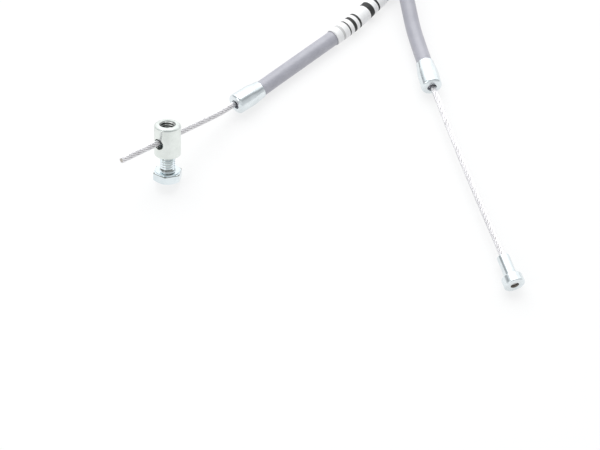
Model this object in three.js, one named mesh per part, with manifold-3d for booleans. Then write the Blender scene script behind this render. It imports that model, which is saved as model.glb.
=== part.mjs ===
// Front brake cable: grey casing with a drawn ferrule at each end, a stranded inner wire, a swaged
// nipple at the lever end and a drilled barrel with a hex bolt that grips the wire at the brake end.
// Millimetres, +Z up. The cable lies on the plane z = 0, with its spare length wound into a coil.

import * as THREE from 'three';
import { mergeVertices } from 'three/addons/utils/BufferGeometryUtils.js';
import Module from 'manifold-3d';

const wasm = await Module();
wasm.setup();

// Casing: plastic jacket over a wound steel spiral
const CASING_R = 3.15;
const JACKET_WALL = 0.7;
const SPIRAL_GAP = 0.1;
const SPIRAL_WALL = 0.7;
const SPIRAL_SHORT = 0.6; // the spiral ends this far inside the jacket's ends
const FLOOR_GAP = 0.05;

// Inner wire
const WIRE_R = 1.125;

// Clearance between pieces that are pressed or rest together on the real cable
const SEAT_GAP = 0.3;
const SNUG_GAP = 0.15;

// End ferrules, drawn cups with their mouth crimped down on the casing
const FERRULE_LENGTH = 13.2;
const FERRULE_R = 4.22;
const FERRULE_WALL = 0.55;
const FERRULE_LIP_WALL = 0.35;
const FERRULE_FACE_WALL = 1.0;
const FERRULE_CRIMP_LENGTH = 4.6;
const FERRULE_LIP_LENGTH = 0.8;
const FERRULE_SHOULDER_R = 1.25;
const FERRULE_HOLE_R = 1.85;
const FERRULE_HOLE_CHAMFER = 0.2;

// Swaged nipple at the lever end
const NIPPLE_HEAD_R = 3.9;
const NIPPLE_HEAD_LENGTH = 3.8;
const NIPPLE_SHANK_R = 2.35;
const NIPPLE_SHANK_LENGTH = 9.0;
const NIPPLE_HEAD_ROUND = 0.5;
const NIPPLE_SHANK_CHAMFER = 0.4;
const NIPPLE_NECK_R = 0.35;
const NIPPLE_CUP_R = 1.55;
const NIPPLE_CUP_DEPTH = 1.6;
const NIPPLE_WIRE_DEPTH = 0.9; // from the head's face down to the end of the wire

// Clamp: round barrel, cross hole for the wire, bolt screwed up its axis
const BARREL_R = 5.05;
const BARREL_LENGTH = 13.0;
const BARREL_CHAMFER = 0.7;
const BARREL_BORE_CHAMFER = 0.35;
const CROSS_HOLE_R = 2.15;
const CROSS_HOLE_DROP = 0.25; // below the middle of the barrel
const BOLT_R = 2.9;
const THREAD_GAP = 0.15;
const BOLT_LENGTH = 12.0;
const BOLT_TIP_CHAMFER = 0.7;
const HEX_ACROSS_FLATS = 10.0;
const HEX_HEIGHT = 3.55;
const HEX_CHAMFER_DEPTH = 0.55;
const HEX_CHAMFER_RUN = 0.95;
const WASHER_FACE_R = 4.8;
const WASHER_FACE_HEIGHT = 0.35;
const HEX_TURN = THREE.MathUtils.degToRad(33.6);

// Paper label wrapped round the casing
const LABEL_WALL = 0.25;
const LABEL_START = 58.5; // along the casing, from its end in the brake end ferrule
const LABEL_LENGTH = 26.0;

// Coil of the spare length: one turn on the table and the next one on top of it
const COIL_CENTRE = new THREE.Vector2(51.0, 175.4);
const COIL_TURN_R = 32.0;
const COIL_TURN_RISE = 6.45;

// Sweep and revolve fineness
const CASING_STEP = 2.2 * 2 * CASING_R;
const WIRE_STEP = 3 * 2 * WIRE_R;
const JACKET_SIDES = 12;
const CORD_SIDES = 8;
const ROUND_SEGMENTS = 32;
const COIL_SEGMENTS = 40;

// Where the ends lie: centre of each ferrule's front face and the way it points
const BRAKE_FERRULE_FACE = new THREE.Vector3(-38.12, 30.31, 5.2);
const BRAKE_FERRULE_OUT = new THREE.Vector3(-0.725, -0.682, 0.097).normalize();
const LEVER_FERRULE_FACE = new THREE.Vector3(40.78, 39.86, 4.4);
const LEVER_FERRULE_OUT = new THREE.Vector3(0.16, -0.987, 0.015).normalize();

// The wire leaves the lever end ferrule against the side of its hole
const LEVER_WIRE_OFFSET = new THREE.Vector3(0.45, 0.07, 0.0);

// Nipple: centre of the shank's open end and the way the head points
const NIPPLE_START = new THREE.Vector3(61.48, -40.24, NIPPLE_HEAD_R + FLOOR_GAP);
const NIPPLE_OUT = new THREE.Vector3(3.2, -12.5, 0).normalize();

// Clamp: the wire's place at the barrel's axis, the wire's way through it and the barrel's way up
const CLAMP_WIRE_POINT = new THREE.Vector3(-62.08, 3.41, 17.8);
const CLAMP_WIRE_WAY = new THREE.Vector3(0.618, 0.702, -0.355).normalize();
const CLAMP_UP = new THREE.Vector3(0.06, 0.409, 0.911).normalize();
const WIRE_FREE_LENGTH = 24.0; // from the barrel's axis to the cut end

const CASING_REST_Z = CASING_R + FLOOR_GAP;

// Route of the casing from the brake end ferrule to the coil, as x, y and height above its rest
const BRAKE_LEG_ROUTE = [
  [-22.9, 45.3, 0.4],
  [-18.0, 49.5, 0.4],
  [-13.1, 53.9, 0.4],
  [-8.2, 58.4, 0.4],
  [-3.2, 63.1, 0.4],
  [1.8, 68.0, 0.4],
  [6.5, 72.9, 0.4],
  [11.0, 77.9, 0.4],
  [20.6, 89.4, 0.5],
  [30.6, 101.3, 0.1],
  [40.8, 113.5, 0],
  [51.5, 126.2, 0],
  [62.2, 139.0, 0],
];

// Route of the casing from the coil to the lever end ferrule, over the other leg and down
const LEVER_LEG_ROUTE = [
  [22.7, 150.0, 6.5],
  [24.2, 140.8, 6.5],
  [25.8, 130.9, 6.6],
  [27.4, 121.0, 6.8],
  [29.0, 111.1, 6.9],
  [30.6, 101.3, 6.9],
  [32.2, 91.4, 5.9],
  [33.8, 81.6, 3.6],
  [35.5, 71.6, 1.5],
  [37.1, 62.2, 0.7],
];

// Route of the wire between the barrel and the brake end ferrule
const BRAKE_WIRE_ROUTE = [
  [-52.2, 14.9, 11.8],
  [-47.5, 20.6, 8.7],
  [-43.0, 25.5, 6.7],
];

// Route of the wire between the lever end ferrule and the nipple
const LEVER_WIRE_ROUTE = [
  [45.9, 20.2, 4.2],
  [50.8, 0.3, 4.1],
  [55.9, -19.3, 4.0],
];

const finish = {
  jacket: new THREE.MeshStandardMaterial({ color: 0x8f8f98, roughness: 0.55, metalness: 0.0 }),
  zinc: new THREE.MeshStandardMaterial({ color: 0xcfd6d6, roughness: 0.28, metalness: 0.95 }),
  steel: new THREE.MeshStandardMaterial({ color: 0xb9babf, roughness: 0.35, metalness: 0.9 }),
  spring: new THREE.MeshStandardMaterial({ color: 0x77787c, roughness: 0.5, metalness: 0.8 }),
  paper: new THREE.MeshStandardMaterial({ color: 0xf2f2f0, roughness: 0.8, metalness: 0.0 }),
};

const part = new THREE.Group();

function addPiece(name, geometry, material) {
  const mesh = new THREE.Mesh(geometry, material);
  mesh.name = name;
  part.add(mesh);
  return mesh;
}

// A path that visits exactly the stations given, so tubes of the same stations nest in each other
class StationPath extends THREE.Curve {
  constructor(stations) {
    super();
    this.stations = stations;
  }

  getPoint(t, target = new THREE.Vector3()) {
    const place = THREE.MathUtils.clamp(t, 0, 1) * (this.stations.length - 1);
    const before = Math.min(Math.floor(place), this.stations.length - 2);
    return target.lerpVectors(this.stations[before], this.stations[before + 1], place - before);
  }

  getUtoTmapping(u) {
    return u;
  }
}

function smoothStations(points, step) {
  const curve = new THREE.CatmullRomCurve3(points, false, 'centripetal');
  return curve.getSpacedPoints(Math.max(2, Math.round(curve.getLength() / step)));
}

function regularOutline(radius, sides) {
  return Array.from({ length: sides }, (_, i) => {
    const angle = (2 * Math.PI * i) / sides;
    return new THREE.Vector2(radius * Math.cos(angle), radius * Math.sin(angle));
  });
}

function sweptTube(stations, radius, sides, boreRadius = 0, boreSides = sides) {
  const section = new THREE.Shape(regularOutline(radius, sides));
  if (boreRadius > 0) {
    section.holes.push(new THREE.Path(regularOutline(boreRadius, boreSides)));
  }
  const steps = stations.length - 1;
  return new THREE.ExtrudeGeometry(section, { steps, extrudePath: new StationPath(stations), bevelEnabled: false });
}

// The stretch of a run of stations between two distances along it
function stretchOf(stations, from, to) {
  const kept = [];
  let travelled = 0;
  for (let i = 0; i + 1 < stations.length; i += 1) {
    const length = stations[i].distanceTo(stations[i + 1]);
    for (const [at, isEnd] of [[from, false], [to, true]]) {
      if (at >= travelled && at < travelled + length) {
        const cut = stations[i].clone().lerp(stations[i + 1], (at - travelled) / length);
        if (isEnd) return [...kept, cut];
        kept.push(cut);
      }
    }
    travelled += length;
    if (kept.length > 0) kept.push(stations[i + 1].clone());
  }
  return kept;
}

function lengthOf(stations) {
  return stations.slice(1).reduce((sum, point, i) => sum + point.distanceTo(stations[i]), 0);
}

// Turned shape about +Z: the profile is a closed list of radius and height
function turned(profile, segments = ROUND_SEGMENTS) {
  const closed = [...profile, profile[0]].map(([r, z]) => new THREE.Vector2(r, z));
  const geometry = new THREE.LatheGeometry(closed, segments);
  geometry.rotateX(Math.PI / 2);
  return geometry;
}

function arc(centreR, centreZ, radius, fromDeg, toDeg, pieces) {
  return Array.from({ length: pieces + 1 }, (_, i) => {
    const angle = THREE.MathUtils.degToRad(fromDeg + ((toDeg - fromDeg) * i) / pieces);
    return [centreR + radius * Math.cos(angle), centreZ + radius * Math.sin(angle)];
  });
}

function toManifold(geometry) {
  const bare = geometry.clone();
  bare.deleteAttribute('normal');
  bare.deleteAttribute('uv');
  const merged = mergeVertices(bare, 1e-4);
  return new wasm.Manifold(
    new wasm.Mesh({
      numProp: 3,
      vertProperties: new Float32Array(merged.attributes.position.array),
      triVerts: new Uint32Array(merged.index.array),
    })
  );
}

function toGeometry(solid) {
  const mesh = solid.getMesh();
  const geometry = new THREE.BufferGeometry();
  geometry.setAttribute('position', new THREE.BufferAttribute(mesh.vertProperties, 3));
  geometry.setIndex(new THREE.BufferAttribute(mesh.triVerts, 1));
  geometry.computeVertexNormals();
  return geometry;
}

// Turns a piece so that its +Z points along a direction, and sets it at a place
function aimAlong(mesh, place, direction) {
  mesh.quaternion.setFromUnitVectors(new THREE.Vector3(0, 0, 1), direction);
  mesh.position.copy(place);
}

function pointBehind(face, out, distance) {
  return face.clone().addScaledVector(out, -distance);
}

// Drawn ferrule, its front face at z = 0 and its open mouth at z = -FERRULE_LENGTH
function ferruleGeometry() {
  const mouth = -FERRULE_LENGTH;
  const lipBore = CASING_R + SNUG_GAP;
  const cylinderStart = mouth + FERRULE_CRIMP_LENGTH;
  const faceInside = -FERRULE_FACE_WALL;
  return turned([
    [lipBore, mouth],
    [lipBore + FERRULE_LIP_WALL, mouth],
    [lipBore + FERRULE_LIP_WALL, mouth + FERRULE_LIP_LENGTH],
    [FERRULE_R, cylinderStart],
    ...arc(FERRULE_R - FERRULE_SHOULDER_R, -FERRULE_SHOULDER_R, FERRULE_SHOULDER_R, 0, 90, 5),
    [FERRULE_HOLE_R + FERRULE_HOLE_CHAMFER, 0],
    [FERRULE_HOLE_R, -FERRULE_HOLE_CHAMFER],
    [FERRULE_HOLE_R, faceInside],
    [FERRULE_R - FERRULE_WALL, faceInside],
    [FERRULE_R - FERRULE_WALL, cylinderStart],
    [lipBore, mouth + FERRULE_LIP_LENGTH],
  ]);
}

function addFerrule(name, face, out) {
  aimAlong(addPiece(name, ferruleGeometry(), finish.zinc), face, out);
}

// Nipple, its shank opening at z = 0 and its head's face at the far end
function nippleGeometry() {
  const length = NIPPLE_SHANK_LENGTH + NIPPLE_HEAD_LENGTH;
  const bore = WIRE_R + SNUG_GAP;
  return turned([
    [bore, 0],
    [NIPPLE_SHANK_R - NIPPLE_SHANK_CHAMFER, 0],
    [NIPPLE_SHANK_R, NIPPLE_SHANK_CHAMFER],
    ...arc(NIPPLE_SHANK_R + NIPPLE_NECK_R, NIPPLE_SHANK_LENGTH - NIPPLE_NECK_R, NIPPLE_NECK_R, 180, 90, 3),
    ...arc(NIPPLE_HEAD_R - NIPPLE_HEAD_ROUND, NIPPLE_SHANK_LENGTH + NIPPLE_HEAD_ROUND, NIPPLE_HEAD_ROUND, -90, 0, 3),
    ...arc(NIPPLE_HEAD_R - NIPPLE_HEAD_ROUND, length - NIPPLE_HEAD_ROUND, NIPPLE_HEAD_ROUND, 0, 90, 3),
    [NIPPLE_CUP_R, length],
    [NIPPLE_CUP_R, length - NIPPLE_CUP_DEPTH],
    [bore, length - NIPPLE_CUP_DEPTH],
  ]);
}

function addNipple() {
  aimAlong(addPiece('lever_nipple', nippleGeometry(), finish.zinc), NIPPLE_START, NIPPLE_OUT);
}

// Barrel about +Z with the cross hole's axis along +X through its middle, at z = 0
function barrelGeometry() {
  const half = BARREL_LENGTH / 2;
  const bore = BOLT_R + THREAD_GAP;
  const body = turned([
    [bore, -half + BARREL_BORE_CHAMFER],
    [bore + BARREL_BORE_CHAMFER, -half],
    [BARREL_R - BARREL_CHAMFER, -half],
    [BARREL_R, -half + BARREL_CHAMFER],
    [BARREL_R, half - BARREL_CHAMFER],
    [BARREL_R - BARREL_CHAMFER, half],
    [bore + BARREL_BORE_CHAMFER, half],
    [bore, half - BARREL_BORE_CHAMFER],
  ]);
  const drill = new THREE.CylinderGeometry(CROSS_HOLE_R, CROSS_HOLE_R, 3 * BARREL_R, ROUND_SEGMENTS);
  drill.rotateZ(Math.PI / 2);
  drill.translate(0, 0, -CROSS_HOLE_DROP);
  return toGeometry(toManifold(body).subtract(toManifold(drill)));
}

// Hex bolt about +Z, its tip at z = 0 and its head below
function boltGeometry() {
  const bearing = -BOLT_LENGTH;
  const hexTop = bearing - WASHER_FACE_HEIGHT;
  const hexBottom = hexTop - HEX_HEIGHT;
  const cornerR = HEX_ACROSS_FLATS / 2 / Math.cos(Math.PI / 6);
  const hex = new THREE.ExtrudeGeometry(new THREE.Shape(regularOutline(cornerR, 6)), {
    depth: HEX_HEIGHT,
    bevelEnabled: false,
  });
  hex.translate(0, 0, hexBottom);
  const corners = turned([
    [0, hexTop],
    [0, hexBottom],
    [cornerR - HEX_CHAMFER_RUN, hexBottom],
    [cornerR, hexBottom + HEX_CHAMFER_DEPTH],
    [cornerR, hexTop - HEX_CHAMFER_DEPTH / 2],
    [cornerR - HEX_CHAMFER_RUN / 2, hexTop],
  ]);
  const shank = turned([
    [0, 0],
    [0, hexTop - HEX_HEIGHT / 2],
    [WASHER_FACE_R, hexTop - HEX_HEIGHT / 2],
    [WASHER_FACE_R, bearing],
    [BOLT_R, bearing],
    [BOLT_R, -BOLT_TIP_CHAMFER],
    [BOLT_R - BOLT_TIP_CHAMFER, 0],
  ]);
  const head = toManifold(hex).intersect(toManifold(corners));
  return toGeometry(head.add(toManifold(shank)));
}

function addClamp() {
  const lift = CROSS_HOLE_R - CROSS_HOLE_DROP - SEAT_GAP - WIRE_R;
  const up = CLAMP_UP.clone().addScaledVector(CLAMP_WIRE_WAY, -CLAMP_UP.dot(CLAMP_WIRE_WAY)).normalize();
  const across = new THREE.Vector3().crossVectors(up, CLAMP_WIRE_WAY);
  const clamp = new THREE.Group();
  clamp.quaternion.setFromRotationMatrix(new THREE.Matrix4().makeBasis(CLAMP_WIRE_WAY, across, up));
  clamp.position.copy(CLAMP_WIRE_POINT).addScaledVector(up, -lift);
  part.add(clamp);
  const barrel = new THREE.Mesh(barrelGeometry(), finish.zinc);
  barrel.name = 'clamp_barrel';
  const bolt = new THREE.Mesh(boltGeometry(), finish.zinc);
  bolt.name = 'clamp_bolt';
  bolt.position.z = lift - WIRE_R - SEAT_GAP;
  bolt.rotation.z = HEX_TURN;
  clamp.add(barrel, bolt);
}

// Stations of a casing leg, from its end inside the ferrule to its end at the coil
function legStations(face, out, route) {
  const seat = FERRULE_FACE_WALL + SEAT_GAP;
  const points = [
    pointBehind(face, out, seat),
    pointBehind(face, out, (seat + FERRULE_LENGTH) / 2),
    pointBehind(face, out, FERRULE_LENGTH),
    ...route.map(([x, y, lift]) => new THREE.Vector3(x, y, CASING_REST_Z + lift)),
  ];
  return smoothStations(points, CASING_STEP);
}

function addLeg(name, stations) {
  const jacketBore = CASING_R - JACKET_WALL;
  const spiralR = jacketBore - SPIRAL_GAP;
  const jacket = sweptTube(stations, CASING_R, JACKET_SIDES, jacketBore, CORD_SIDES);
  addPiece(`casing_${name}_leg`, jacket, finish.jacket);
  const inside = stretchOf(stations, SPIRAL_SHORT, lengthOf(stations) - SPIRAL_SHORT);
  const spiral = sweptTube(inside, spiralR, CORD_SIDES, spiralR - SPIRAL_WALL);
  addPiece(`steel_spiral_${name}_leg`, spiral, finish.spring);
}

// Closed ring with the outer shape of two turns, one on top of the other
function addCoil() {
  const under = CASING_REST_Z;
  const over = CASING_REST_Z + COIL_TURN_RISE;
  const profile = [
    ...arc(COIL_TURN_R, under, CASING_R, -90, 45, 5),
    ...arc(COIL_TURN_R, over, CASING_R, -45, 90, 5),
    ...arc(COIL_TURN_R, over, CASING_R, 90, 225, 5).slice(1),
    ...arc(COIL_TURN_R, under, CASING_R, 135, 270, 5).slice(0, -1),
  ];
  const ring = addPiece('casing_coil', turned(profile, COIL_SEGMENTS), finish.jacket);
  ring.position.set(COIL_CENTRE.x, COIL_CENTRE.y, 0);
}

function addBrakeWire(leg) {
  const cutEnd = pointBehind(CLAMP_WIRE_POINT, CLAMP_WIRE_WAY, WIRE_FREE_LENGTH);
  const outside = [
    cutEnd,
    pointBehind(CLAMP_WIRE_POINT, CLAMP_WIRE_WAY, WIRE_FREE_LENGTH / 2),
    CLAMP_WIRE_POINT.clone(),
    CLAMP_WIRE_POINT.clone().addScaledVector(CLAMP_WIRE_WAY, BARREL_R),
    ...BRAKE_WIRE_ROUTE.map((point) => new THREE.Vector3(...point)),
    BRAKE_FERRULE_FACE.clone(),
  ];
  const stations = [...smoothStations(outside, WIRE_STEP), ...leg];
  addPiece('inner_wire_brake_end', sweptTube(stations, WIRE_R, CORD_SIDES), finish.steel);
}

function addLeverWire(leg) {
  const wireEnd = NIPPLE_SHANK_LENGTH + NIPPLE_HEAD_LENGTH - NIPPLE_WIRE_DEPTH;
  const outside = [
    LEVER_FERRULE_FACE.clone().add(LEVER_WIRE_OFFSET),
    ...LEVER_WIRE_ROUTE.map((point) => new THREE.Vector3(...point)),
    pointBehind(NIPPLE_START, NIPPLE_OUT, WIRE_STEP / 2),
    pointBehind(NIPPLE_START, NIPPLE_OUT, -wireEnd / 2),
    pointBehind(NIPPLE_START, NIPPLE_OUT, -wireEnd),
  ];
  const inside = leg.map((point) => point.clone()).reverse();
  inside[inside.length - 1].add(LEVER_WIRE_OFFSET);
  const stations = [...inside, ...smoothStations(outside, WIRE_STEP)];
  addPiece('inner_wire_lever_end', sweptTube(stations, WIRE_R, CORD_SIDES), finish.steel);
}

function addLabel(leg) {
  const stations = stretchOf(leg, LABEL_START, LABEL_START + LABEL_LENGTH);
  const inner = CASING_R + SNUG_GAP;
  addPiece('paper_label', sweptTube(stations, inner + LABEL_WALL, JACKET_SIDES, inner), finish.paper);
}

const brakeLeg = legStations(BRAKE_FERRULE_FACE, BRAKE_FERRULE_OUT, BRAKE_LEG_ROUTE);
const leverLeg = legStations(LEVER_FERRULE_FACE, LEVER_FERRULE_OUT, [...LEVER_LEG_ROUTE].reverse());

addClamp();
addBrakeWire(brakeLeg);
addFerrule('brake_end_ferrule', BRAKE_FERRULE_FACE, BRAKE_FERRULE_OUT);
addLeg('brake', brakeLeg);
addLabel(brakeLeg);
addCoil();
addLeg('lever', leverLeg);
addFerrule('lever_end_ferrule', LEVER_FERRULE_FACE, LEVER_FERRULE_OUT);
addLeverWire(leverLeg);
addNipple();

export default part;
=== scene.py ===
"""Front brake cable of a moped: casing, stranded inner wire, ferrules, nipple and wire clamp."""
import math

import bmesh
import bpy
from mathutils import Matrix, Vector
from mathutils.geometry import interpolate_bezier


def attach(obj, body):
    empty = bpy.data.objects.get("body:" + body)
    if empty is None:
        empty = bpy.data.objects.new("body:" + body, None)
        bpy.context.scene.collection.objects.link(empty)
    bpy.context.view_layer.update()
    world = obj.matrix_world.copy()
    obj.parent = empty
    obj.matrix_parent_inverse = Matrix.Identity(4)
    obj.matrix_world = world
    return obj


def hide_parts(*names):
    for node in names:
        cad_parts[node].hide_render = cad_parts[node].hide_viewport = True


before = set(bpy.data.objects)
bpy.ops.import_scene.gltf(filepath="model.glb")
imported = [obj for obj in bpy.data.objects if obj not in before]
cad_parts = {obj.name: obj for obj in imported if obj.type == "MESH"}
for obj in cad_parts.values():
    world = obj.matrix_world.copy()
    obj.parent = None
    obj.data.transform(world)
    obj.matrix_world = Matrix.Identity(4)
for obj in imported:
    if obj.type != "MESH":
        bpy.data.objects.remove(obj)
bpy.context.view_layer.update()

scene = bpy.context.scene
MM = 0.001


# Sizes, in millimetres as on the drawing

CASING_R = 3.15
CASING_REST_Z = 3.2
CASING_STEP = 1.5

WIRE_R = 1.125
WIRE_STEP = 0.6
WIRE_FREE_LENGTH = 24.0
WIRE_JOINS_CASING_LINE = 7
HIDDEN_WIRE_R = 1.08
CORE_R = 0.72
STRAND_COUNT = 10
STRAND_R = 0.235
STRAND_LAY = 30.0

FERRULE_LENGTH = 13.2
FERRULE_R = 4.22
FERRULE_SEAT = 1.3
FERRULE_LIP_R = CASING_R + 0.1
FERRULE_LIP_ROUND = 0.2
FERRULE_SHOULDER_ROUND = 1.25
FERRULE_HOLE_R = 1.85
FERRULE_HOLE_ROUND = 0.22
FERRULE_INSIDE_R = 3.6
FERRULE_FRONT_WALL = 1.0

NIPPLE_LENGTH = 12.8
NIPPLE_SHANK_LENGTH = 9.0
NIPPLE_SHANK_R = 2.35
NIPPLE_SHANK_ROUND = 0.45
NIPPLE_NECK_FILLET = 0.35
NIPPLE_HEAD_R = 3.9
NIPPLE_HEAD_ROUND = 0.5
NIPPLE_SEAT_R = 1.55
NIPPLE_SEAT_DEPTH = 1.6
NIPPLE_SEAT_ROUND = 0.15
NIPPLE_BORE_R = WIRE_R + 0.12
WIRE_END_IN_NIPPLE = 11.9
WIRE_STRAIGHT_AT_NIPPLE = 3.4

BARREL_LENGTH = 13.0
BARREL_R = 5.05
BARREL_CHAMFER = 0.7
BARREL_EDGE_ROUND = 0.15
BARREL_RING_STEP = 0.75
BARREL_RINGS_EACH_WAY = 7
BORE_MOUTH_DEPTH = 0.7
LOWER_MOUTH_R = 3.45
UPPER_MOUTH_R = 3.1
LOWER_BORE_THREAD = (2.98, 3.3)
UPPER_BORE_THREAD = (2.55, 2.95)
UPPER_BORE_START = 0.6
BORES_OVERLAP = 0.1
CROSS_HOLE_R = 2.15
CROSS_HOLE_DROP = 0.25
CROSS_DRILL_REACH = 9.0
WIRE_ABOVE_MIDDLE = 0.475

THREAD_PITCH = 1.0
BOLT_THREAD = (2.45, 2.88)
BOLT_LENGTH = 12.0
BOLT_TIP_BELOW_WIRE = 1.425
BOLT_TIP_R = 2.2
BOLT_TIP_CONE = 1.6
BOLT_FOOT_HEIGHT = 0.9
HEX_ACROSS_FLATS = 10.0
HEX_HEIGHT = 3.55
HEX_EDGE_BEVEL = 0.35
HEX_EDGE_PROFILE = 0.6
# Slopes of the hex's upper edge faces that are painted dark, as a painted dark reflection
HEX_EDGE_SLOPES = (0.2, 0.95)
HEX_TURN = math.radians(33.6)
WASHER_FACE_R = 4.75
WASHER_FACE_HEIGHT = 0.35

LABEL_START = 53.1
LABEL_LENGTH = 31.4
LABEL_GAP = 0.15
LABEL_PAPER = 0.2

COIL_CENTRE = Vector((50.98, 175.36))
COIL_TURN_R = 32.0
COIL_TURN_RISE = 6.45
COIL_ENTRY = -40.0
COIL_EXIT = 549.2
COIL_STEPS = 40
COIL_RISE_FROM = 240.0
COIL_RISE_OVER = 66.0


# Places of the ends, in millimetres in the frame of the model

BRAKE_FACE = Vector((-38.12, 30.31, 5.2))
BRAKE_OUT = Vector((-0.725, -0.682, 0.097)).normalized()
LEVER_FACE = Vector((40.78, 39.86, 4.4))
LEVER_OUT = Vector((0.16, -0.987, 0.015)).normalized()
BRAKE_WIRE_OFFSET = Vector((-0.18, 0.22, 0.29))
LEVER_WIRE_OFFSET = Vector((0.45, 0.07, 0.0))
NIPPLE_START = Vector((61.48, -40.24, 3.95))
NIPPLE_OUT = Vector((3.2, -12.5, 0.0)).normalized()
CLAMP_WIRE_POINT = Vector((-62.08, 3.41, 17.8))
CLAMP_WIRE_WAY = Vector((0.618, 0.702, -0.355)).normalized()
CLAMP_UP = Vector((0.06, 0.409, 0.911)).normalized()

BRAKE_LEG_ROUTE = [
    (-22.9, 44.9, 0.4),
    (-18.0, 49.5, 0.4),
    (-13.1, 54.1, 0.4),
    (-8.2, 58.7, 0.4),
    (-3.2, 63.4, 0.4),
    (1.8, 68.1, 0.4),
    (6.5, 72.7, 0.4),
    (11.0, 77.4, 0.4),
    (20.6, 89.1, 0.5),
    (30.6, 101.3, 0.1),
    (40.8, 113.5, 0.0),
    (51.5, 126.2, 0.0),
    (62.2, 139.0, 0.0),
]
LEVER_LEG_ROUTE = [
    (22.7, 150.0, 6.5),
    (24.2, 140.8, 6.5),
    (25.8, 130.9, 6.6),
    (27.4, 121.0, 6.8),
    (29.0, 111.1, 6.9),
    (30.6, 101.3, 6.9),
    (31.9, 91.4, 5.9),
    (33.4, 81.6, 3.6),
    (35.0, 71.6, 1.5),
    (36.9, 62.2, 0.7),
]
BRAKE_WIRE_ROUTE = [
    (-52.2, 14.9, 11.8),
    (-47.5, 20.6, 8.7),
    (-43.0, 25.5, 6.7),
]
LEVER_WIRE_ROUTE = [
    (45.9, 20.2, 4.2),
    (50.8, 0.3, 4.1),
    (55.9, -19.3, 4.0),
]


# Lines

def smooth_line(points, per_span):
    """A line through all the points, with each span between two of them cut into equal pieces."""
    points = [Vector(p) for p in points]
    ends = [2 * points[0] - points[1], *points, 2 * points[-1] - points[-2]]
    line = []
    for before, start, end, after in zip(ends, points, points[1:], ends[3:]):
        first, middle, last = (
            max(1e-4, (b - a).length ** 0.5)
            for a, b in ((before, start), (start, end), (end, after))
        )
        leave = (
            (start - before) / first - (end - before) / (first + middle) + (end - start) / middle
        )
        arrive = (
            (end - start) / middle - (after - start) / (middle + last) + (after - end) / last
        )
        handles = start + leave * middle / 3, end - arrive * middle / 3
        line += interpolate_bezier(start, *handles, end, per_span + 1)[:-1]
    return line + [points[-1]]


def running_length(line):
    """How far along the line each of its points is."""
    total = [0.0]
    for a, b in zip(line, line[1:]):
        total.append(total[-1] + (b - a).length)
    return total


def stretch(line, start, end):
    """The part of the line between two distances along it."""
    along = running_length(line)
    kept = [p for p, s in zip(line, along) if start < s < end]
    return [point_at(line, start), *kept, point_at(line, end)]


def point_at(line, distance):
    """The point at a distance along the line."""
    along = running_length(line)
    for a, b, s, t in zip(line, line[1:], along, along[1:]):
        if s <= distance <= t:
            return a.lerp(b, (distance - s) / (t - s))
    return line[-1].copy()


def evenly(line, step):
    """The same line with points at an even distance."""
    along = running_length(line)
    count = max(2, round(along[-1] / step))
    found = []
    i = 0
    for k in range(count + 1):
        place = along[-1] * k / count
        while i < len(line) - 2 and along[i + 1] < place:
            i += 1
        span = along[i + 1] - along[i]
        found.append(line[i].lerp(line[i + 1], min(1.0, (place - along[i]) / span)))
    return found


def behind(face, out, distance):
    """The point at a distance behind a face, straight against the way that it faces."""
    return face - out * distance


def casing_route():
    """Centreline of the casing, from its end in the brake end ferrule round the coil to the other."""
    seats = (FERRULE_SEAT, (FERRULE_SEAT + FERRULE_LENGTH) / 2, FERRULE_LENGTH)
    points = [behind(BRAKE_FACE, BRAKE_OUT, s) for s in seats]
    points += [Vector((x, y, CASING_REST_Z + lift)) for x, y, lift in BRAKE_LEG_ROUTE]
    for step in range(COIL_STEPS + 1):
        angle = COIL_ENTRY + (COIL_EXIT - COIL_ENTRY) * step / COIL_STEPS
        rise = min(1.0, max(0.0, (angle - COIL_RISE_FROM) / COIL_RISE_OVER))
        height = CASING_REST_Z + COIL_TURN_RISE * rise * rise * (3 - 2 * rise)
        turn = math.radians(angle)
        across = COIL_CENTRE + COIL_TURN_R * Vector((math.cos(turn), math.sin(turn)))
        points.append(Vector((*across, height)))
    points += [Vector((x, y, CASING_REST_Z + lift)) for x, y, lift in LEVER_LEG_ROUTE]
    points += [behind(LEVER_FACE, LEVER_OUT, s) for s in reversed(seats)]
    return evenly(smooth_line(points, 12), CASING_STEP)


def wire_route(casing):
    """Centreline of the inner wire in three stretches: brake end, inside the casing, lever end."""
    first = WIRE_JOINS_CASING_LINE
    last = -first - 1
    points = [
        behind(CLAMP_WIRE_POINT, CLAMP_WIRE_WAY, WIRE_FREE_LENGTH),
        behind(CLAMP_WIRE_POINT, CLAMP_WIRE_WAY, WIRE_FREE_LENGTH / 2),
        CLAMP_WIRE_POINT,
        CLAMP_WIRE_POINT + CLAMP_WIRE_WAY * BARREL_R,
        *BRAKE_WIRE_ROUTE,
        BRAKE_FACE + BRAKE_WIRE_OFFSET,
        behind(BRAKE_FACE, BRAKE_OUT, FERRULE_SEAT) + BRAKE_WIRE_OFFSET,
        casing[first],
    ]
    brake_side = smooth_line(points, 8)
    points = [
        casing[last],
        behind(LEVER_FACE, LEVER_OUT, FERRULE_SEAT) + LEVER_WIRE_OFFSET,
        LEVER_FACE + LEVER_WIRE_OFFSET,
        *LEVER_WIRE_ROUTE,
        behind(NIPPLE_START, NIPPLE_OUT, WIRE_STRAIGHT_AT_NIPPLE),
        NIPPLE_START + NIPPLE_OUT * WIRE_END_IN_NIPPLE / 2,
        NIPPLE_START + NIPPLE_OUT * WIRE_END_IN_NIPPLE,
    ]
    lever_side = smooth_line(points, 8)
    return brake_side[:-1], casing[first:last], lever_side


# Camera

CAMERA_HEIGHT_ANGLE = math.radians(56)
CAMERA_DISTANCE = 437.5
CAMERA_SENSOR_WIDTH = 36.0
CAMERA_LENS = 70.0
LOOKED_AT = Vector((-12.37, -23.79, 0.0))


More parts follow.
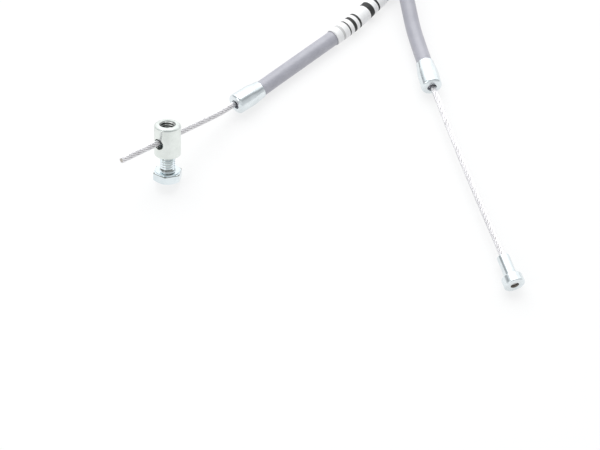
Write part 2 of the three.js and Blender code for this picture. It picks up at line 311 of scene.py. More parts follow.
def add_camera():
    data = bpy.data.cameras.new("camera")
    data.sensor_width = CAMERA_SENSOR_WIDTH
    data.lens = CAMERA_LENS
    data.clip_start = 0.01
    data.clip_end = 20.0
    camera = bpy.data.objects.new("camera", data)
    scene.collection.objects.link(camera)
    away = Vector((0.0, -math.cos(CAMERA_HEIGHT_ANGLE), math.sin(CAMERA_HEIGHT_ANGLE)))
    camera.location = (LOOKED_AT + away * CAMERA_DISTANCE) * MM
    camera.rotation_euler = (math.pi / 2 - CAMERA_HEIGHT_ANGLE, 0.0, 0.0)
    scene.camera = camera


# Finishes, and darker metals painted as shade and dark reflection: dark tone, light tone, least and
# most roughness, strength of the relief

METAL_FINISHES = {
    "bright_zinc": ((0.68, 0.72, 0.69), (0.79, 0.83, 0.8), (0.14, 0.24), 0.12),
    "bolt_zinc": ((0.68, 0.75, 0.78), (0.8, 0.86, 0.88), (0.07, 0.15), 0.12),
    "strand_steel": ((0.72, 0.71, 0.725), (0.85, 0.84, 0.855), (0.3, 0.42), 0.2),
    "blue_zinc": ((0.7, 0.75, 0.77), (0.8, 0.85, 0.87), (0.14, 0.24), 0.12),
    # Painted shade and dark reflection: a dark zinc for the barrel's bore and for the bolt's grooves,
    # foot and upper hex edge
    "painted_shade_and_reflection_zinc": ((0.22, 0.23, 0.22), (0.34, 0.35, 0.34), (0.1, 0.2), 0.1),
    # Painted shade: a darker steel for the wire's core between the strands and for the hollow of the
    # nipple's seat
    "hollow_shade_steel": ((0.36, 0.34, 0.31), (0.56, 0.53, 0.49), (0.4, 0.55), 0.4),
    # A near-black metal for the wire's end face at the clamp
    "near_black_end_steel": ((0.06, 0.05, 0.05), (0.14, 0.12, 0.11), (0.5, 0.7), 0.4),
    # Painted shade: a dark steel for the casing spirals, which are seen only in the shade inside the
    # ferrule holes
    "shaded_spring_steel": ((0.2, 0.2, 0.21), (0.3, 0.3, 0.31), (0.4, 0.55), 0.3),
}
JACKET_DARK = (0.35, 0.35, 0.395)
JACKET_LIGHT = (0.41, 0.41, 0.455)
PAPER_WHITE = (0.86, 0.86, 0.86)
INK_BLACK = (0.02, 0.02, 0.02)
INK_PALE = (0.55, 0.55, 0.55)


# Printed bands of the label: start and end as shares of its length, and the ink

LABEL_BANDS = [
    (0.115, 0.15, INK_PALE),
    (0.23, 0.25, INK_BLACK),
    (0.305, 0.355, INK_BLACK),
    (0.405, 0.435, INK_BLACK),
    (0.62, 0.7, INK_BLACK),
    (0.78, 0.81, INK_BLACK),
]


# Studio

STUDIO_BRIGHT_WAY = (0.0, 0.85, 0.53)
STUDIO_STRENGTH = 1.25
STUDIO_WALLS = [
    (0.4, (0.6, 0.61, 0.62)),
    (0.6, (0.48, 0.49, 0.5)),
    (0.7, (0.24, 0.25, 0.26)),
    (0.76, (0.5, 0.52, 0.53)),
    (0.84, (0.98, 0.99, 1.0)),
]
LIGHTS_AIM = (0, 0.03, 0)
KEY_PLACE = (-0.08, 0.46, 0.66)
KEY_SIZE = (0.9, 0.7)
KEY_POWER = 3.4
FILL_PLACE = (-0.6, -0.3, 0.5)
FILL_SIZE = (0.4, 0.5)
FILL_POWER = 0.8
FLOOR_HALF_SIZE = 3.0
FLOOR_TONE = (0.25, 0.25, 0.25)
FLOOR_GLOW = 0.71


# Shader helpers

def add_node(tree, kind, **settings):
    node = tree.nodes.new(kind)
    for key, value in settings.items():
        if key in node.inputs:
            node.inputs[key].default_value = value
        else:
            setattr(node, key, value)
    return node


def ramp(tree, source, stops, interpolation="LINEAR"):
    node = tree.nodes.new("ShaderNodeValToRGB")
    node.color_ramp.interpolation = interpolation
    elements = node.color_ramp.elements
    while len(elements) < len(stops):
        elements.new(0.5)
    for element, (place, color) in zip(elements, stops):
        element.position = place
        element.color = (*color, 1.0)
    tree.links.new(source, node.inputs["Fac"])
    return node.outputs["Color"]


def grey(value):
    return (value, value, value)


def start_group(name, inputs, outputs):
    group = bpy.data.node_groups.new(name, "ShaderNodeTree")
    for label, value in inputs.items():
        socket = group.interface.new_socket(label, in_out="INPUT", socket_type="NodeSocketFloat")
        socket.default_value = value
    for label, kind in outputs.items():
        group.interface.new_socket(label, in_out="OUTPUT", socket_type=kind)
    return group, group.nodes.new("NodeGroupInput"), group.nodes.new("NodeGroupOutput")


def metal_wear_group():
    """Cloudy tone and fine scratches of plated metal: a tone, a mask and a height."""
    group, given, result = start_group(
        "metal_wear",
        {"Cloud Scale": 220.0, "Scratch Scale": 900.0, "Scratch Amount": 0.5},
        {"Tone": "NodeSocketFloat", "Scratches": "NodeSocketFloat", "Height": "NodeSocketFloat"},
    )
    link = group.links.new
    coords = group.nodes.new("ShaderNodeTexCoord")
    clouds = add_node(group, "ShaderNodeTexNoise", Detail=4.0, Roughness=0.55)
    link(coords.outputs["Object"], clouds.inputs["Vector"])
    link(given.outputs["Cloud Scale"], clouds.inputs["Scale"])
    squeeze = add_node(group, "ShaderNodeMapping")
    squeeze.inputs["Scale"].default_value = (1.0, 0.12, 0.35)
    squeeze.inputs["Rotation"].default_value = (0.3, 0.2, 0.8)
    link(coords.outputs["Object"], squeeze.inputs["Vector"])
    lines = add_node(group, "ShaderNodeTexNoise", Detail=6.0, Roughness=0.7)
    link(squeeze.outputs["Vector"], lines.inputs["Vector"])
    link(given.outputs["Scratch Scale"], lines.inputs["Scale"])
    mask = add_node(group, "ShaderNodeMapRange")
    mask.inputs["From Min"].default_value = 0.52
    mask.inputs["From Max"].default_value = 0.72
    link(lines.outputs["Fac"], mask.inputs["Value"])
    amount = add_node(group, "ShaderNodeMath", operation="MULTIPLY")
    link(mask.outputs["Result"], amount.inputs[0])
    link(given.outputs["Scratch Amount"], amount.inputs[1])
    height = add_node(group, "ShaderNodeMath", operation="SUBTRACT")
    link(clouds.outputs["Fac"], height.inputs[0])
    link(amount.outputs["Value"], height.inputs[1])
    link(clouds.outputs["Fac"], result.inputs["Tone"])
    link(amount.outputs["Value"], result.inputs["Scratches"])
    link(height.outputs["Value"], result.inputs["Height"])
    return group


def start_material(name):
    material = bpy.data.materials.new(name)
    material.use_nodes = True
    tree = material.node_tree
    return material, tree, tree.nodes["Principled BSDF"]


def plated_metal(name, wear, dark, light, rough, bump):
    """Bright plated or drawn steel with a cloudy tone and fine scratches."""
    material, tree, shader = start_material(name)
    shader.inputs["Metallic"].default_value = 1.0
    worn = tree.nodes.new("ShaderNodeGroup")
    worn.node_tree = wear
    color = ramp(tree, worn.outputs["Tone"], [(0.3, dark), (0.65, light)])
    tree.links.new(color, shader.inputs["Base Color"])
    spread = add_node(tree, "ShaderNodeMapRange")
    spread.inputs["To Min"].default_value = rough[0]
    spread.inputs["To Max"].default_value = rough[1]
    tree.links.new(worn.outputs["Tone"], spread.inputs["Value"])
    roughness = add_node(tree, "ShaderNodeMath", operation="ADD")
    scratched = add_node(tree, "ShaderNodeMath", operation="MULTIPLY")
    scratched.inputs[1].default_value = 0.25
    tree.links.new(worn.outputs["Scratches"], scratched.inputs[0])
    tree.links.new(spread.outputs["Result"], roughness.inputs[0])
    tree.links.new(scratched.outputs["Value"], roughness.inputs[1])
    tree.links.new(roughness.outputs["Value"], shader.inputs["Roughness"])
    relief = add_node(tree, "ShaderNodeBump", Strength=bump, Distance=0.00005)
    tree.links.new(worn.outputs["Height"], relief.inputs["Height"])
    tree.links.new(relief.outputs["Normal"], shader.inputs["Normal"])
    return material


def jacket_plastic():
    """Grey extruded plastic: a soft sheen, a cloudy tone and a fine grain."""
    material, tree, shader = start_material("casing_grey_plastic")
    coords = tree.nodes.new("ShaderNodeTexCoord")
    clouds = add_node(tree, "ShaderNodeTexNoise", Scale=160.0, Detail=5.0, Roughness=0.6)
    tree.links.new(coords.outputs["Object"], clouds.inputs["Vector"])
    color = ramp(tree, clouds.outputs["Fac"], [(0.3, JACKET_DARK), (0.7, JACKET_LIGHT)])
    tree.links.new(color, shader.inputs["Base Color"])
    grain = add_node(tree, "ShaderNodeTexNoise", Scale=2600.0, Detail=3.0)
    tree.links.new(coords.outputs["Object"], grain.inputs["Vector"])
    spread = add_node(tree, "ShaderNodeMapRange")
    spread.inputs["To Min"].default_value = 0.3
    spread.inputs["To Max"].default_value = 0.42
    tree.links.new(clouds.outputs["Fac"], spread.inputs["Value"])
    tree.links.new(spread.outputs["Result"], shader.inputs["Roughness"])
    relief = add_node(tree, "ShaderNodeBump", Strength=0.12, Distance=0.0001)
    tree.links.new(grain.outputs["Fac"], relief.inputs["Height"])
    tree.links.new(relief.outputs["Normal"], shader.inputs["Normal"])
    shader.inputs["Specular IOR Level"].default_value = 0.7
    return material


def printed_paper():
    """White label paper with printed bands round it, by the sleeve's own map along its length."""
    material, tree, shader = start_material("label_paper")
    uv = add_node(tree, "ShaderNodeUVMap", uv_map="UVMap")
    split = tree.nodes.new("ShaderNodeSeparateXYZ")
    tree.links.new(uv.outputs["UV"], split.inputs["Vector"])
    stops = [(0.0, PAPER_WHITE)]
    for band_start, band_end, ink in LABEL_BANDS:
        stops += [(band_start, ink), (band_end, PAPER_WHITE)]
    bands = ramp(tree, split.outputs["X"], stops, "CONSTANT")
    coords = tree.nodes.new("ShaderNodeTexCoord")
    fibre = add_node(tree, "ShaderNodeTexNoise", Scale=900.0, Detail=4.0)
    tree.links.new(coords.outputs["Object"], fibre.inputs["Vector"])
    tint = ramp(tree, fibre.outputs["Fac"], [(0.3, grey(0.94)), (0.7, grey(1.0))])
    mix = add_node(tree, "ShaderNodeMix", data_type="RGBA", blend_type="MULTIPLY")
    mix.inputs["Factor"].default_value = 1.0
    tree.links.new(bands, mix.inputs["A"])
    tree.links.new(tint, mix.inputs["B"])
    tree.links.new(mix.outputs["Result"], shader.inputs["Base Color"])
    shader.inputs["Roughness"].default_value = 0.6
    relief = add_node(tree, "ShaderNodeBump", Strength=0.1, Distance=0.0001)
    tree.links.new(fibre.outputs["Fac"], relief.inputs["Height"])
    tree.links.new(relief.outputs["Normal"], shader.inputs["Normal"])
    return material


def floor_paint():
    """White floor that glows a little, as an overexposed backdrop does, and takes faint shadows."""
    material, _, shader = start_material("floor_white")
    shader.inputs["Base Color"].default_value = (*FLOOR_TONE, 1.0)
    shader.inputs["Roughness"].default_value = 0.9
    shader.inputs["Specular IOR Level"].default_value = 0.1
    shader.inputs["Emission Color"].default_value = (1.0, 1.0, 1.0, 1.0)
    shader.inputs["Emission Strength"].default_value = FLOOR_GLOW
    return material


# Mesh helpers

def add_object(name, data, material=None):
    obj = bpy.data.objects.new(name, data)
    scene.collection.objects.link(obj)
    if material is not None:
        data.materials.append(material)
    return obj


def finished(name, bm, material, sharp_angle=35.0):
    """The bmesh, given in millimetres, as an object in metres with smooth faces and sharp edges."""
    bmesh.ops.remove_doubles(bm, verts=bm.verts, dist=1e-4)
    bmesh.ops.recalc_face_normals(bm, faces=bm.faces)
    bmesh.ops.scale(bm, verts=bm.verts, vec=(MM, MM, MM))
    mesh = bpy.data.meshes.new(name)
    bm.to_mesh(mesh)
    bm.free()
    mesh.shade_smooth()
    mesh.set_sharp_from_angle(angle=math.radians(sharp_angle))
    obj = add_object(name, mesh, material)
    flats = obj.modifiers.new("flat_faces", "WEIGHTED_NORMAL")
    flats.keep_sharp = True
    flats.weight = 100
    return obj


def belongs(piece, slot, *nodes):
    """The piece rides on the model's one body and stands for these nodes."""
    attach(piece, "root")
    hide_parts(*nodes)
    return piece


def other_material(bm, slot, chosen):
    """Faces of the bmesh that the test picks by their middle and normal get another slot."""
    for face in bm.faces:
        if chosen(face.calc_center_median(), face.normal):
            face.material_index = slot


def aimed(place, direction):
    """Matrix that puts a shape made along Z at a place, pointing in a direction."""
    return Matrix.Translation(place) @ direction.to_track_quat("Z", "Y").to_matrix().to_4x4()


def turned(profile, steps=72, closed=True):
    """A turned shape about Z from a profile of radius and height."""
    bm = bmesh.new()
    verts = [bm.verts.new((r, 0.0, z)) for r, z in profile]
    pairs = list(zip(verts, verts[1:]))
    if closed:
        pairs.append((verts[-1], verts[0]))
    edges = [bm.edges.new(pair) for pair in pairs]
    bmesh.ops.spin(
        bm,
        geom=verts + edges,
        cent=(0, 0, 0),
        axis=(0, 0, 1),
        angle=2 * math.pi,
        steps=steps,
        use_merge=True,
    )
    bmesh.ops.remove_doubles(bm, verts=bm.verts, dist=1e-5)
    return bm


def arc(centre_r, centre_z, radius, start, end, pieces):
    """Points of a profile along an arc, from one angle in degrees to another."""
    found = []
    for i in range(pieces + 1):
        angle = math.radians(start + (end - start) * i / pieces)
        found.append((centre_r + radius * math.cos(angle), centre_z + radius * math.sin(angle)))
    return found


def thread(radii, bottom, top, steps=32):
    """A threaded rod about Z: one pitch of the profile wound up and cut flat at both ends."""
    root_r, crest_r = radii
    bm = bmesh.new()
    low = bottom - 2 * THREAD_PITCH
    flat = THREAD_PITCH / 8
    profile = [
        (root_r, 0.0),
        (root_r, flat),
        (crest_r, THREAD_PITCH / 2 - flat / 2),
        (crest_r, THREAD_PITCH / 2 + flat / 2),
        (root_r, THREAD_PITCH - flat / 2),
        (root_r, THREAD_PITCH),
    ]
    verts = [bm.verts.new((r, 0.0, low + z)) for r, z in profile]
    edges = [bm.edges.new(pair) for pair in zip(verts, verts[1:])]
    turns = math.ceil((top - bottom) / THREAD_PITCH) + 3
    bmesh.ops.spin(
        bm,
        geom=verts + edges,
        cent=(0, 0, 0),
        axis=(0, 0, 1),
        dvec=(0, 0, THREAD_PITCH / steps),
        angle=2 * math.pi * turns,
        steps=steps * turns,
    )
    bmesh.ops.remove_doubles(bm, verts=bm.verts, dist=1e-4)
    for height, normal in ((bottom, (0, 0, -1)), (top, (0, 0, 1))):
        cut = bmesh.ops.bisect_plane(
            bm,
            geom=bm.verts[:] + bm.edges[:] + bm.faces[:],
            dist=1e-5,
            plane_co=(0, 0, height),
            plane_no=normal,
            clear_outer=True,
        )
        rim = [g for g in cut["geom_cut"] if isinstance(g, bmesh.types.BMEdge)]
        bmesh.ops.edgeloop_fill(bm, edges=rim)
    bmesh.ops.recalc_face_normals(bm, faces=bm.faces)
    return bm


def combined(bm, others):
    """The bmesh with each other one cut from it, joined to it or kept only where both are."""
    host = scratch_object(bm)
    for operation, other in others:
        modifier = host.modifiers.new(operation, "BOOLEAN")
        modifier.operation = operation
        modifier.solver = "EXACT"
        modifier.object = scratch_object(other)
    evaluated = host.evaluated_get(bpy.context.evaluated_depsgraph_get())
    result = bmesh.new()
    result.from_mesh(evaluated.to_mesh())
    evaluated.to_mesh_clear()
    for modifier in list(host.modifiers):
        bpy.data.objects.remove(modifier.object)
    bpy.data.objects.remove(host)
    return result


def scratch_object(bm):
    """A bmesh as an object for a cut or a join, dropped afterwards."""
    bmesh.ops.recalc_face_normals(bm, faces=bm.faces)
    mesh = bpy.data.meshes.new("scratch")
    bm.to_mesh(mesh)
    bm.free()
    return add_object("scratch", mesh)


def tube_curve(name, lines, radius, sides_resolution, caps=True):
    """Round tubes along lines given in millimetres, as one curve object in metres."""
    data = bpy.data.curves.new(name, "CURVE")
    data.dimensions = "3D"
    data.bevel_depth = radius * MM
    data.bevel_resolution = sides_resolution
    data.use_fill_caps = caps
    data.twist_mode = "MINIMUM"
    for line in lines:
        spline = data.splines.new("POLY")
        spline.points.add(len(line) - 1)
        for point, place in zip(spline.points, line):
            point.co = (*(place * MM), 1.0)
        spline.use_smooth = True
    return bpy.data.objects.new(name, data)


def mesh_of(curve_object):
    """The curve object's surface as a mesh, and the curve is dropped."""
    scene.collection.objects.link(curve_object)
    evaluated = curve_object.evaluated_get(bpy.context.evaluated_depsgraph_get())
    mesh = bpy.data.meshes.new_from_object(evaluated)
    mesh.name = curve_object.name
    bpy.data.objects.remove(curve_object)
    return mesh


# Pieces

# Material slots: the wire's near-black end face at the clamp, the darker steel painted as shade in the
# wire's core and the nipple's seat, and the dark faces painted as shade and dark reflection on the
# nipple, barrel and bolt
NEAR_BLACK_END_SLOT = 1
HOLLOW_SHADE_SLOT = 2
DARK_SLOT = 1
END_FACE_REACH = 2e-5


def make_casing(line, material):
    casing = tube_curve("cable_casing", [line], CASING_R, 8)
    scene.collection.objects.link(casing)
    casing.data.materials.append(material)
    belongs(casing, "jacket", "casing_brake_leg", "casing_coil", "casing_lever_leg")
    return casing


def laid_strands(line):
    """Lines of the outer strands wound round the line, each one turn in STRAND_LAY."""
    tangent = (line[1] - line[0]).normalized()
    side = tangent.orthogonal().normalized()
    along = running_length(line)
    strands = [[] for _ in range(STRAND_COUNT)]
    for i, point in enumerate(line):
        ahead = (line[min(i + 1, len(line) - 1)] - line[max(i - 1, 0)]).normalized()
        side = tangent.rotation_difference(ahead) @ side
        tangent = ahead
        across = tangent.cross(side)
        for k, strand in enumerate(strands):
            angle = 2 * math.pi * (k / STRAND_COUNT + along[i] / STRAND_LAY)
            out = math.cos(angle) * side + math.sin(angle) * across
            strand.append(point + out * (WIRE_R - STRAND_R))
    return strands


def wire_mesh(brake_side, inside, lever_side):
    """The two seen ends as a core with laid strands, the hidden middle as a plain rod."""
    bm = bmesh.new()
    for line in (brake_side, lever_side):
        bm.from_mesh(mesh_of(tube_curve("core", [line], CORE_R, 4)))
    # Painted shade: the core gets a darker steel, so it looks shaded in the gaps between the strands
    other_material(bm, HOLLOW_SHADE_SLOT, lambda middle, normal: True)
    for line in (brake_side, lever_side):
        bm.from_mesh(mesh_of(tube_curve("strands", laid_strands(line), STRAND_R, 2)))
    hidden = [brake_side[-2], *inside, lever_side[1]]
    bm.from_mesh(mesh_of(tube_curve("inside", [hidden], HIDDEN_WIRE_R, 2)))
    mesh = bpy.data.meshes.new("inner_wire")
    bm.to_mesh(mesh)
    bm.free()
    mesh.shade_smooth()
    mesh.set_sharp_from_angle(angle=math.radians(60))
    return mesh


def make_wire(parts, material, near_black_end_material, hollow_shade_material):
    brake_side, inside, lever_side = parts
    brake_side = evenly(brake_side, WIRE_STEP)
    lever_side = evenly(lever_side, WIRE_STEP)
    mesh = wire_mesh(brake_side, inside, lever_side)
    wire = add_object("inner_wire", mesh, material)
    mesh.materials.append(near_black_end_material)
    mesh.materials.append(hollow_shade_material)
    # The end face at the clamp gets the near-black metal; the end face inside the nipple gets the
    # darker steel painted as shade in that hollow
    ends = (
        (NEAR_BLACK_END_SLOT, brake_side[0] * MM, CLAMP_WIRE_WAY),
        (HOLLOW_SHADE_SLOT, lever_side[-1] * MM, NIPPLE_OUT),
    )
    for face in mesh.polygons:
        for slot, end, way in ends:
            if abs((face.center - end).dot(way)) < END_FACE_REACH and len(face.vertices) > 4:
                face.material_index = slot
    belongs(wire, "wire", "inner_wire_brake_end", "inner_wire_lever_end")
    return wire


def make_ferrule(name, node, face, out, material):
    """Drawn cup: rounded shoulder round a flat front with a hole, its mouth crimped on the casing."""
    mouth = -FERRULE_LENGTH
    lip = FERRULE_LIP_R
    shoulder = FERRULE_SHOULDER_ROUND
    profile = [
        (lip, mouth),
        *arc(lip + FERRULE_LIP_ROUND, mouth + FERRULE_LIP_ROUND, FERRULE_LIP_ROUND, -90, 0, 3),
        (lip + 0.42, mouth + 0.8),
        (lip + 0.52, mouth + 1.8),
        (lip + 0.72, mouth + 3.2),
        (lip + 0.86, mouth + 4.2),
        (FERRULE_R - 0.02, mouth + 5.2),
        (FERRULE_R, mouth + 6.2),
        *arc(FERRULE_R - shoulder, -shoulder, shoulder, 0, 90, 10),
        *arc(FERRULE_HOLE_R + FERRULE_HOLE_ROUND, -FERRULE_HOLE_ROUND, FERRULE_HOLE_ROUND, 90, 180, 4),
        (FERRULE_HOLE_R, -FERRULE_FRONT_WALL),
        (FERRULE_INSIDE_R, -FERRULE_FRONT_WALL),
        (FERRULE_INSIDE_R, mouth + 4.4),
        (lip, mouth + 1.0),
    ]
    bm = turned(profile, 80)
    bm.transform(aimed(face, out))
    piece = finished(name, bm, material, 50)
    return belongs(piece, "zinc", node)


def make_nipple(material, hollow_shade_material):
    """Swaged nipple: shank with a domed start, a neck fillet and a head with the wire's seat."""
    start = NIPPLE_SHANK_LENGTH
    end = NIPPLE_LENGTH
    seat = end - NIPPLE_SEAT_DEPTH
    dome = NIPPLE_SHANK_ROUND
    fillet = NIPPLE_NECK_FILLET
    edge = NIPPLE_HEAD_ROUND
    rim = NIPPLE_SEAT_ROUND
    profile = [
        (NIPPLE_BORE_R, 0.0),
        *arc(NIPPLE_SHANK_R - dome, dome, dome, -90, 0, 5),
        *arc(NIPPLE_SHANK_R + fillet, start - fillet, fillet, 180, 90, 4),
        *arc(NIPPLE_HEAD_R - edge, start + edge, edge, -90, 0, 6),
        *arc(NIPPLE_HEAD_R - edge, end - edge, edge, 0, 90, 6),
        *arc(NIPPLE_SEAT_R + rim, end - rim, rim, 90, 180, 3),
        (NIPPLE_SEAT_R, seat),
        (NIPPLE_BORE_R, seat),
    ]
    bm = turned(profile, 72)
    inside_seat = NIPPLE_SEAT_R + 0.02
    # Painted shade: the faces inside the wire's seat in the head get a darker steel for the shade in
    # that hollow
    other_material(
        bm,
        DARK_SLOT,
        lambda middle, normal: middle.xy.length < inside_seat and middle.z > seat - 0.1,
    )
    bm.transform(aimed(NIPPLE_START, NIPPLE_OUT))
    piece = finished("lever_end_nipple", bm, material, 50)
    piece.data.materials.append(hollow_shade_material)
    return belongs(piece, "zinc", "lever_nipple")


def clamp_frame():
    """Matrix of the clamp: X along the wire, Z up the barrel, the barrel's middle at the origin."""
    up = (CLAMP_UP - CLAMP_UP.dot(CLAMP_WIRE_WAY) * CLAMP_WIRE_WAY).normalized()
    across = up.cross(CLAMP_WIRE_WAY)
    turn = Matrix((CLAMP_WIRE_WAY, across, up)).transposed().to_4x4()
    return Matrix.Translation(CLAMP_WIRE_POINT - up * WIRE_ABOVE_MIDDLE) @ turn


def barrel_body(half):
    """The turned barrel before drilling, with rounded chamfers and rings that keep its side even."""
    edge = BARREL_EDGE_ROUND
    side_r = BARREL_R - edge
    chamfer_r = BARREL_R - BARREL_CHAMFER - edge
    rings = range(-BARREL_RINGS_EACH_WAY, BARREL_RINGS_EACH_WAY + 1)
    return turned(
        [
            (0.0, -half),
            *arc(chamfer_r, -half + edge, edge, -90, -45, 2),
            *arc(side_r, -half + BARREL_CHAMFER + 0.05, edge, -45, 0, 2),
            *[(BARREL_R, BARREL_RING_STEP * ring) for ring in rings],
            *arc(side_r, half - BARREL_CHAMFER - 0.05, edge, 0, 45, 2),
            *arc(chamfer_r, half - edge, edge, 45, 90, 2),
            (0.0, half),
        ],
        72,
        closed=False,
    )


def bore_mouth(half, sign, mouth_r):
    """The countersink at one end of the bore, up for a sign of 1 and down for -1."""
    inner = sign * (half - BORE_MOUTH_DEPTH)
    outer = sign * (half + 1)
    profile = [
        (0.0, inner),
        (mouth_r - BORE_MOUTH_DEPTH, inner),
        (mouth_r, sign * half),
        (mouth_r, outer),
        (0.0, outer),
    ]
    return turned(profile, 64, closed=False)


def make_barrel(material, painted_bore_shade):
    """Turned barrel with a threaded bore along it and a cross hole for the wire."""
    half = BARREL_LENGTH / 2
    body = barrel_body(half)
    taps = [
        thread(LOWER_BORE_THREAD, -half - 1, UPPER_BORE_START + BORES_OVERLAP),
        thread(UPPER_BORE_THREAD, UPPER_BORE_START, half + 1),
    ]
    mouths = [bore_mouth(half, -1, LOWER_MOUTH_R), bore_mouth(half, 1, UPPER_MOUTH_R)]
    reach = CROSS_DRILL_REACH
    drill_profile = [(0.0, -reach), (CROSS_HOLE_R, -reach), (CROSS_HOLE_R, reach), (0.0, reach)]
    drill = turned(drill_profile, 48, closed=False)
    lowered = Matrix.Translation((0, 0, -CROSS_HOLE_DROP))
    drill.transform(lowered @ Matrix.Rotation(math.pi / 2, 4, "Y"))
    bm = combined(body, [("DIFFERENCE", cutter) for cutter in (*taps, *mouths, drill)])
    bore_r = LOWER_BORE_THREAD[1]
    # Painted shade: the bore's faces and the inner part of the cross hole get a dark metal for the
    # shade inside them
    other_material(
        bm,
        DARK_SLOT,
        lambda middle, normal: middle.xy.length < bore_r and abs(middle.z) < half - 0.1,
    )
    bm.transform(clamp_frame())
    piece = finished("wire_clamp_barrel", bm, material, 30)
    piece.data.materials.append(painted_bore_shade)
    return belongs(piece, "zinc", "clamp_barrel")


def hex_head(bottom, top):
    """Hexagon with a bevelled upper edge, and the round shape that trims its corners."""
    corner = HEX_ACROSS_FLATS / 2 / math.cos(math.pi / 6)
    hexagon = bmesh.new()
    middle = Matrix.Translation((0, 0, (top + bottom - 1) / 2))
    bmesh.ops.create_cone(
        hexagon,
        cap_ends=True,
        segments=6,
        radius1=corner,
        radius2=corner,
        depth=top - bottom + 1,
        matrix=middle @ Matrix.Rotation(math.pi / 6, 4, "Z"),
    )
    rim = [edge for edge in hexagon.edges if all(vert.co.z > top - 0.01 for vert in edge.verts)]
    bmesh.ops.bevel(
        hexagon,
        geom=rim,
        offset=HEX_EDGE_BEVEL,
        segments=2,
        profile=HEX_EDGE_PROFILE,
        affect="EDGES",
        material=-1,
    )
    rounded = turned(
        [
            (0.0, bottom),
            (corner - 1.0, bottom),
            (corner, bottom + 0.55),
            (corner, top - 0.3),
            (corner - 1.83, top + 0.7),
            (0.0, top + 0.7),
        ],
        72,
        closed=False,
    )
    return hexagon, rounded


def washer_face(top, bearing):
    """The round face under the head, with a cone round the shank's foot."""
    foot = bearing + BOLT_FOOT_HEIGHT
    profile = [
        (0.0, top - 1.0),
        (WASHER_FACE_R, top - 1.0),
        (WASHER_FACE_R, bearing - 0.1),
        (WASHER_FACE_R - 0.1, bearing),
        (3.2, bearing),
        (2.85, bearing + 0.3),
        (2.5, foot),
        (0.0, foot),
    ]
    return turned(profile, 72, closed=False)


def threaded_shank(bearing, tip):
    """The thread, with its tip trimmed to a cone."""
    point = turned(
        [
            (0.0, bearing - 2),
            (4.0, bearing - 2),
            (4.0, tip - BOLT_TIP_CONE),
            (BOLT_TIP_R, tip),
            (BOLT_TIP_R, tip + 1),
            (0.0, tip + 1),
        ],
        48,
        closed=False,
    )
    return combined(thread(BOLT_THREAD, bearing - 0.5, tip), [("INTERSECT", point)])


def make_bolt(material, shade_and_reflection_material):
    """Hex bolt screwed up the barrel from below, with painted shade in its thread grooves and round
    the shank's foot and a painted dark reflection along the upper edge of the hex.
    """
    tip = WIRE_ABOVE_MIDDLE - BOLT_TIP_BELOW_WIRE
    bearing = tip - BOLT_LENGTH
    top = bearing - WASHER_FACE_HEIGHT
    foot_top = bearing + BOLT_FOOT_HEIGHT
    groove_r = BOLT_THREAD[0] + 0.1
    steep, gentle = HEX_EDGE_SLOPES

    def painted_shade_and_reflection_faces(middle, normal):
        # The band on the hex's upper edge is a painted dark reflection; the shank's foot and the
        # thread grooves get painted shade
        edge = top - 0.4 < middle.z < top - 0.01 and steep < normal.z < gentle
        foot = bearing + 0.4 < middle.z < foot_top
        groove = middle.z > foot_top and middle.xy.length < groove_r and abs(normal.z) < 0.5
        return edge or foot or groove

    hexagon, rounded = hex_head(top - HEX_HEIGHT, top)
    others = [
        ("INTERSECT", rounded),
        ("UNION", washer_face(top, bearing)),
        ("UNION", threaded_shank(bearing, tip)),
    ]
    bm = combined(hexagon, others)
    other_material(bm, DARK_SLOT, painted_shade_and_reflection_faces)
    bm.transform(clamp_frame() @ Matrix.Rotation(HEX_TURN, 4, "Z"))
    piece = finished("wire_clamp_bolt", bm, material, 28)
    piece.data.materials.append(shade_and_reflection_material)
    return belongs(piece, "zinc", "clamp_bolt")


def make_label(casing_line, material):
    """A paper sleeve round the casing, by the curve's own map, thickened outwards."""
    line = stretch(casing_line, LABEL_START, LABEL_START + LABEL_LENGTH)
    mesh = mesh_of(tube_curve("label_sleeve", [line], CASING_R + LABEL_GAP, 12, caps=False))
    sleeve = add_object("label_sleeve", mesh, material)
    mesh.shade_smooth()
    wall = sleeve.modifiers.new("paper", "SOLIDIFY")
    wall.thickness = LABEL_PAPER * MM
    wall.offset = 1.0
    return belongs(sleeve, "paper", "paper_label")


def add_floor(material):
    bm = bmesh.new()
    bmesh.ops.create_grid(bm, x_segments=4, y_segments=4, size=FLOOR_HALF_SIZE)
    mesh = bpy.data.meshes.new("floor")
    bm.to_mesh(mesh)
    bm.free()
    floor = add_object("floor", mesh, material)


def add_soft_light(name, place, size, power):
    data = bpy.data.lights.new(name, "AREA")
    data.shape = "RECTANGLE"
    data.size, data.size_y = size
    data.energy = power
    lamp = bpy.data.objects.new(name, data)
    scene.collection.objects.link(lamp)
    lamp.location = place
    lamp.rotation_euler = (Vector(LIGHTS_AIM) - Vector(place)).to_track_quat("-Z", "Y").to_euler()


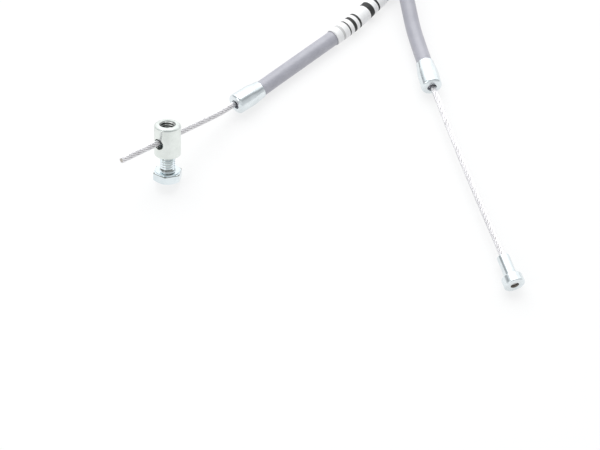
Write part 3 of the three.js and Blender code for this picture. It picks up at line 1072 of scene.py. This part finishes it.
def light_the_studio():
    """Walls that are bright behind the object and darker overhead, and two large soft lights."""
    world = bpy.data.worlds.new("studio")
    world.use_nodes = True
    tree = world.node_tree
    coords = tree.nodes.new("ShaderNodeTexCoord")
    toward = add_node(tree, "ShaderNodeVectorMath", operation="DOT_PRODUCT")
    toward.inputs[1].default_value = STUDIO_BRIGHT_WAY
    tree.links.new(coords.outputs["Generated"], toward.inputs[0])
    facing = add_node(tree, "ShaderNodeMapRange")
    facing.inputs["From Min"].default_value = -1.0
    tree.links.new(toward.outputs["Value"], facing.inputs["Value"])
    walls = ramp(tree, facing.outputs["Result"], STUDIO_WALLS)
    background = tree.nodes["Background"]
    background.inputs["Strength"].default_value = STUDIO_STRENGTH
    tree.links.new(walls, background.inputs["Color"])
    scene.world = world
    add_soft_light("key_softbox", KEY_PLACE, KEY_SIZE, KEY_POWER)
    add_soft_light("fill_softbox", FILL_PLACE, FILL_SIZE, FILL_POWER)
    scene.view_settings.view_transform = "Standard"
    scene.view_settings.look = "None"


def build():
    add_camera()
    wear = metal_wear_group()
    metals = {name: plated_metal(name, wear, *finish) for name, finish in METAL_FINISHES.items()}
    zinc = metals["blue_zinc"]
    # seat holds the darker steel painted as shade in the nipple's seat and in the gaps of the wire's
    # core
    seat = metals["hollow_shade_steel"]
    casing_line = casing_route()
    label = make_label(casing_line, printed_paper())
    ferrules = [
        make_ferrule("ferrule_brake_end", "brake_end_ferrule", BRAKE_FACE, BRAKE_OUT, zinc),
        make_ferrule("ferrule_lever_end", "lever_end_ferrule", LEVER_FACE, LEVER_OUT, zinc),
    ]
    nipple = make_nipple(zinc, seat)
    make_casing(casing_line, jacket_plastic())
    make_wire(wire_route(casing_line), metals["strand_steel"], metals["near_black_end_steel"], seat)
    make_barrel(metals["bright_zinc"], metals["painted_shade_and_reflection_zinc"])
    make_bolt(metals["bolt_zinc"], metals["painted_shade_and_reflection_zinc"])
    # The casing spirals get a dark steel, darkened as painted shade, for they are seen only inside the
    # ferrule holes
    for node in ("steel_spiral_brake_leg", "steel_spiral_lever_leg"):
        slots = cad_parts[node].data.materials
        slots.clear()
        slots.append(metals["shaded_spring_steel"])
    add_floor(floor_paint())
    light_the_studio()


build()
